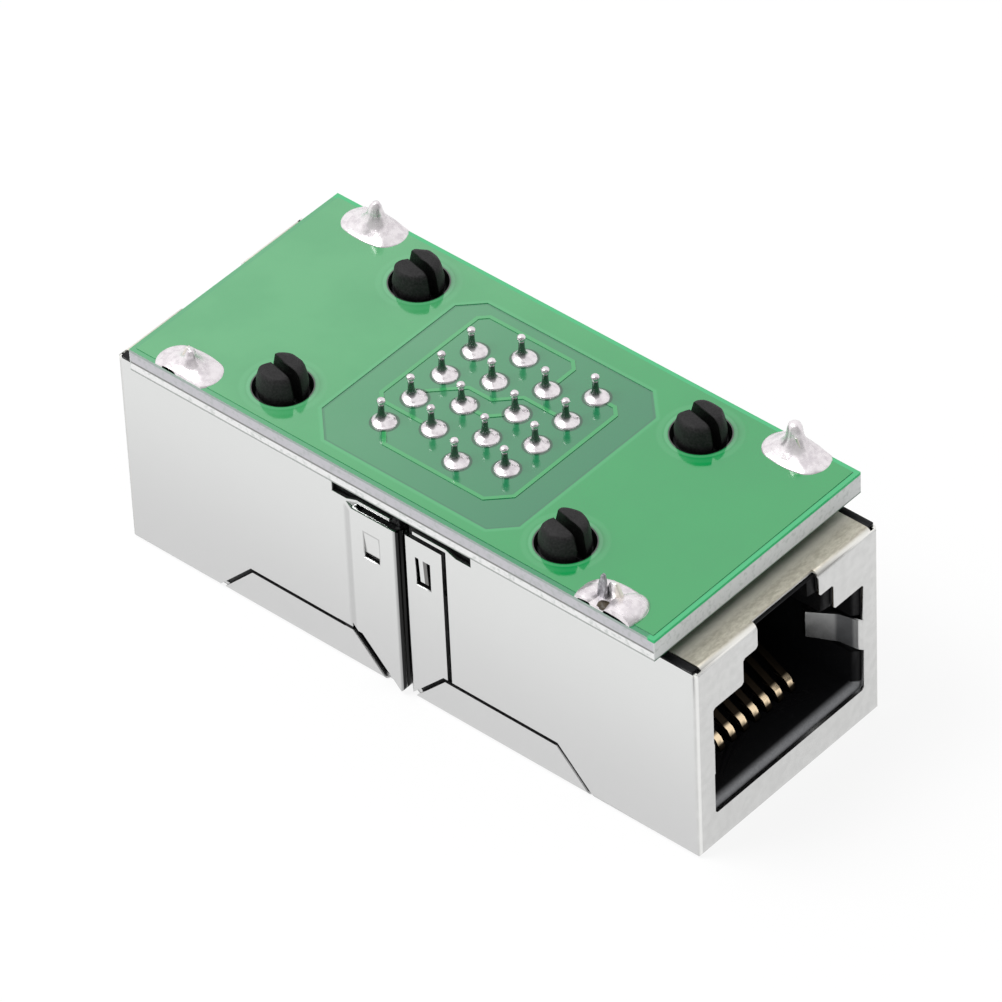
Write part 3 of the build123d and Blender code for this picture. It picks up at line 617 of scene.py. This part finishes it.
def split_peg(jack, hand):
    """A split peg above the board: tapered halves with flat tops, each cut short at its inner end."""
    profile = [
        (0, -0.44), (1.42, -0.44), (1.45, 0.0), (1.49, 0.12), (1.48, 0.35), (1.41, 0.75), (1.34, 1.08),
        (1.28, 1.28), (1.2, 1.39), (1.08, 1.46), (0.9, 1.5), (0, 1.52),
    ]
    whole = lathe(profile, 64)
    whole_mesh = bpy.data.meshes.new("peg_whole")
    whole.to_mesh(whole_mesh)
    whole.free()
    form = bmesh.new()
    for side, corner, slope in ((1, -0.98, (-0.93, -0.1, 0.28)), (-1, -0.58, (-0.93, 0.28, 0.22))):
        half = bmesh.new()
        half.from_mesh(whole_mesh)
        cut_away(half, (0, PEG_SLOT_HALF * side, 0), (0, -side, 0))
        cut_away(half, (corner, PEG_SLOT_HALF * side, 1.5), slope)
        soften(half, 0.07, SHARP_PIECE, 3)
        half_mesh = bpy.data.meshes.new("peg_half")
        half.to_mesh(half_mesh)
        half.free()
        form.from_mesh(half_mesh)
        bpy.data.meshes.remove(half_mesh)
    bpy.data.meshes.remove(whole_mesh)
    for vertex in form.verts:
        lump = noise.noise(vertex.co * 1.7 + Vector((SIDE[jack] * 5, SIDE[hand] * 9, 0)))
        out = Vector((vertex.co.x, vertex.co.y, 0)).normalized()
        if vertex.co.z > 0:
            vertex.co += (out + Vector((0, 0, 0.8))) * 0.05 * lump
    turn = Matrix.Rotation(math.radians(-PEG_TURN), 3, "Z")
    bmesh.ops.rotate(form, cent=(0, 0, 0), matrix=turn, verts=form.verts)
    place = (SIDE[jack] * PEG_PLACE[0], SIDE[hand] * PEG_PLACE[1], BOARD_TOP)
    bmesh.ops.translate(form, vec=place, verts=form.verts)
    even_shading(set_down(form, f"peg_{jack}_{hand}", "black_moulding", peg_finish))


def add_lump(form, middle, size):
    """A rounded lump, squashed to its three half sizes."""
    verts = bmesh.ops.create_uvsphere(form, u_segments=32, v_segments=16, radius=1.0)["verts"]
    bmesh.ops.scale(form, vec=size, verts=verts)
    bmesh.ops.translate(form, vec=middle, verts=verts)


def tab_joint(jack, hand, spire, lean, seed, lumps=()):
    """Solder on a shield tab: a pool that runs up to a leaning spire, cut off flush with the board's edge."""
    pool = [(0, -0.14), (1.36, -0.14), (1.4, 0.0), (1.36, 0.05), (1.2, 0.12)]
    form = lathe(pool + spire, 64)
    for vertex in form.verts:
        height = vertex.co.z
        flat = max(0.0, 1 - height / 0.7)
        vertex.co.x += 0.7 * flat * max(-1.0, min(1.0, vertex.co.x / 0.7))
        vertex.co.x += lean[0] * height
        vertex.co.y += lean[1] * height
        lump = noise.noise(vertex.co * 0.9 + Vector((seed, 0, 0)))
        if height > 0.04:
            vertex.co.z += 0.1 * lump * min(1, height / 0.3)
            vertex.co.x += 0.1 * lump
    for middle, size in lumps:
        add_lump(form, middle, size)
    place = (SIDE[jack] * TAB_PLACE[0], SIDE[hand] * TAB_PLACE[1], BOARD_TOP)
    bmesh.ops.translate(form, vec=place, verts=form.verts)
    cut_away(form, (0, SIDE[hand] * (HALF_BOARD[1] - 0.005), 0), (0, SIDE[hand], 0))
    set_down(form, f"tab_joint_{jack}_{hand}", "solder", solder_finish,
             replaced=[f"tab_solder_{jack}_{hand}"])


def bare_tab():
    """The one shield tab that stands clear of its solder, thin and pointed."""
    width, thickness, length = 0.6, 0.24, 1.9
    form = bmesh.new()
    bmesh.ops.create_cube(form, size=1.0)
    bmesh.ops.scale(form, vec=(width, thickness, length), verts=form.verts)
    bmesh.ops.subdivide_edges(form, edges=form.edges, cuts=3, use_grid_fill=True)
    for vertex in form.verts:
        up = vertex.co.z + length / 2
        vertex.co.x *= 1 - 0.7 * max(0.0, (up - 0.8) / 1.1) ** 1.5
        vertex.co.x += 0.04 * up
        vertex.co.y += 0.05 * up
    soften(form, 0.05, SHARP_PIECE, 2)
    bmesh.ops.translate(form, vec=(14.86, -7.95, BOARD_TOP + 0.78), verts=form.verts)
    even_shading(set_down(form, "bare_shield_tab", "shield_metal", tab_finish))


def flux_residue():
    """Flux in the hole beside the foot of the bare tab."""
    form = bmesh.new()
    add_lump(form, (15.42, -8.45, BOARD_TOP + 0.16), (0.45, 0.36, 0.2))
    for vertex in form.verts:
        vertex.co += 0.09 * noise.noise_vector(vertex.co * 2.4)
    cut_away(form, (0, 0.003 - HALF_BOARD[1], 0), (0, -1, 0))
    set_down(form, "flux_residue", "solder", flux_finish)


for jack in ("a", "b"):
    folded_shield(jack)
    for number in range(1, 9):
        contact_strip(jack, number)
        soldered_pin(jack, number)
    moulded_housing(jack)
    repaint(f"contact_insert_{jack}", moulding_finish)

for jack in ("b", "a"):
    for hand in ("left", "right"):
        split_peg(jack, hand)

tab_joint("a", "left", [(0.9, 0.16), (0.5, 0.18), (0, 0.2)], lean=(0, 0), seed=3.0,
          lumps=[((1.02, -0.2, -0.08), (1.1, 1.55, 0.7)), ((-1.38, -0.4, -0.05), (0.7, 1.0, 0.42))])
bare_tab()
flux_residue()
tab_joint("a", "right", [(1.1, 0.28), (0.88, 0.48), (0.68, 0.76), (0.53, 1.08), (0.46, 1.36), (0.42, 1.62),
                         (0.33, 1.82), (0.18, 1.94), (0, 1.97)], lean=(-0.16, 0.12), seed=7.0)
tab_joint("b", "left", [(0.92, 0.22), (0.64, 0.4), (0.42, 0.66), (0.3, 0.95), (0.2, 1.22), (0, 1.34)],
          lean=(0.12, 0), seed=11.0, lumps=[((-0.7, -0.3, 0.0), (0.8, 0.9, 0.3))])
tab_joint("b", "right", [(1.08, 0.28), (0.82, 0.5), (0.6, 0.82), (0.45, 1.2), (0.34, 1.6), (0.2, 1.88),
                         (0, 1.96)], lean=(0.1, 0), seed=15.0)

repaint("circuit_board", board_finish)


# Studio


def direct_rays(finish):
    """One for what the camera sees, itself or through a reflection or glass, and nought for plain light."""
    camera, glossy, through = [
        finish.node("LightPath", output=f"Is {kind} Ray") for kind in ("Camera", "Glossy", "Transmission")
    ]
    return camera.at_least(glossy).at_least(through)


def pale_floor():
    """A plain pale floor that the camera and reflections see as white, apart from the coupler's shadow."""
    form = bmesh.new()
    bmesh.ops.create_grid(form, x_segments=1, y_segments=1, size=FLOOR_HALF)
    mesh = bpy.data.meshes.new("floor")
    form.to_mesh(mesh)
    form.free()
    mesh.transform(Matrix.Scale(MM, 4))
    mesh.transform(Matrix.Translation((0, 0, -FLOOR_DROP * MM)))
    finish = new_finish("pale_floor")
    paper = finish.node("BsdfDiffuse", sockets={"Color": (0.93, 0.93, 0.93, 1)})
    white = finish.node("Emission", sockets={"Color": (1, 1, 1, 1), "Strength": 1.0})
    mixed = finish.node("MixShader", sockets={0: direct_rays(finish) * 0.86, 1: paper, 2: white})
    finish.node("OutputMaterial", sockets={"Surface": mixed})
    mesh.materials.append(finish.owner)
    floor = bpy.data.objects.new("floor", mesh)
    bpy.context.scene.collection.objects.link(floor)


def white_surroundings():
    """White all round, weaker as a light, and reflected more darkly from the camera's side."""
    world = bpy.data.worlds.new("studio")
    bpy.context.scene.world = world
    finish = Finish(world)
    ray = finish.node("TexCoord", output="Generated")
    dot_product = {"operation": "DOT_PRODUCT"}
    towards_camera = finish.node("VectorMath", dot_product, {0: ray, 1: TOWARDS_CAMERA}, "Value")
    seen = finish.step(towards_camera, 0.0, 0.5, 1.0, 0.35)
    as_light = 0.65
    strength = direct_rays(finish) * (seen - as_light) + as_light
    sky = finish.node("Background", sockets={"Color": (1, 1, 1, 1), "Strength": strength})
    finish.node("OutputWorld", sockets={"Surface": sky})


def soft_light(name, place, aim, size, power):
    """A square softbox, placed in millimetres."""
    lamp = bpy.data.lights.new(name, "AREA")
    lamp.shape = "SQUARE"
    lamp.size = size * MM
    lamp.energy = power
    holder = bpy.data.objects.new(name, lamp)
    holder.location = Vector(place) * MM
    holder.rotation_mode = "QUATERNION"
    holder.rotation_quaternion = (Vector(aim) - Vector(place)).to_track_quat("-Z", "Y")
    bpy.context.scene.collection.objects.link(holder)


def photo_camera():
    """The photograph's view, solved from the board pins."""
    azimuth, elevation, roll = (math.radians(angle) for angle in CAMERA_ANGLES)
    back = Vector((math.sin(azimuth) * math.cos(elevation), -math.cos(azimuth) * math.cos(elevation),
                   math.sin(elevation)))
    level = Vector((math.cos(azimuth), math.sin(azimuth), 0))
    upright = back.cross(level)
    right = math.cos(roll) * level + math.sin(roll) * upright
    up = math.cos(roll) * upright - math.sin(roll) * level
    place = back * CAMERA_DISTANCE + right * CAMERA_SLIDE[0] + up * CAMERA_SLIDE[1]
    camera = bpy.data.cameras.new("photo_camera")
    camera.sensor_width = SENSOR
    camera.lens = FOCAL_PIXELS / PICTURE_PIXELS * SENSOR
    camera.clip_start, camera.clip_end = 0.05, 20
    holder = bpy.data.objects.new("photo_camera", camera)
    holder.matrix_world = Matrix((right, up, back)).transposed().to_4x4()
    holder.location = (place + Vector((0, 0, CAMERA_LIFT))) * MM
    bpy.context.scene.collection.objects.link(holder)
    bpy.context.scene.camera = holder


pale_floor()
white_surroundings()
soft_light("key", place=(-180, -160, 420), aim=(0, 0, 10), size=260, power=1.5)
photo_camera()
bpy.context.scene.view_settings.view_transform = "Standard"
